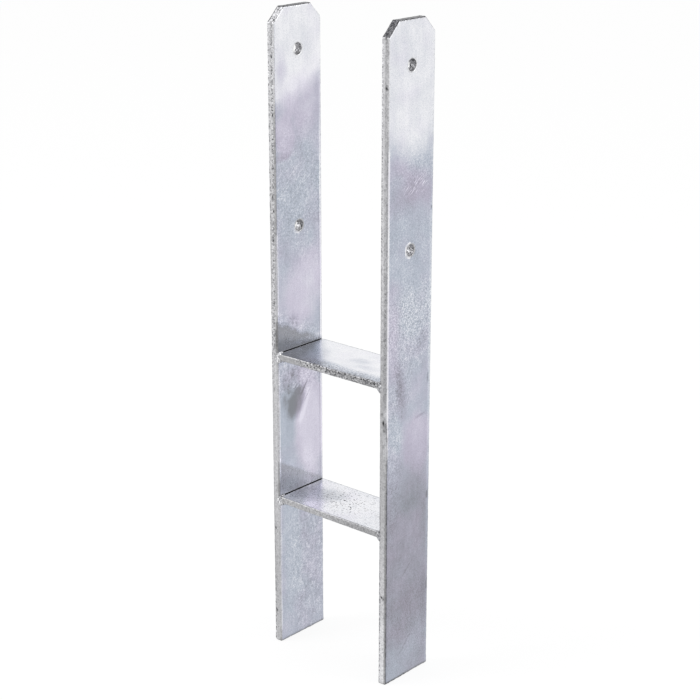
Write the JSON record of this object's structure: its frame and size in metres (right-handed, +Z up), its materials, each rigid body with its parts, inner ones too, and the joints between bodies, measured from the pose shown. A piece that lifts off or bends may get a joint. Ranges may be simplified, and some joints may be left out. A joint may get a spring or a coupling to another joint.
{
  "type": "timber post base",
  "caption": "H-shaped galvanised steel post base: upright flat bars welded to cross plates, with bolt holes above to clamp a square timber post and legs below to set in concrete.",
  "frame": {"origin": "on the ground plane under the bars' square-cut feet, midway between the two bars and midway between their front and back edges", "axes": "+Z up along the side bars, +X from the left bar to the right bar across the opening, +Y from the front edges to the back edges"},
  "size_m": [0.137, 0.0624, 0.6],
  "materials": {
    "galvanised_bar": "hot-dip galvanised flat bar, bright, cloudy and finely streaked",
    "galvanised_plate": "hot-dip galvanised flat bar, bright and finely pitted",
    "galvanised_weld": "weld metal under hot-dip zinc, lumpy and dull"
  },
  "bodies": {
    "root": {"left_side_bar": "galvanised_bar", "right_side_bar": "galvanised_bar", "upper_cross_plate": "galvanised_plate", "lower_cross_plate": "galvanised_plate", "upper_left_seam": "galvanised_weld", "upper_left_front_bead": "galvanised_weld", "upper_left_back_bead": "galvanised_weld", "upper_right_seam": "galvanised_weld", "upper_right_front_bead": "galvanised_weld", "upper_right_back_bead": "galvanised_weld", "lower_left_seam": "galvanised_weld", "lower_left_front_bead": "galvanised_weld", "lower_left_back_bead": "galvanised_weld", "lower_right_seam": "galvanised_weld", "lower_right_front_bead": "galvanised_weld", "lower_right_back_bead": "galvanised_weld"}
  },
  "joints": []
}
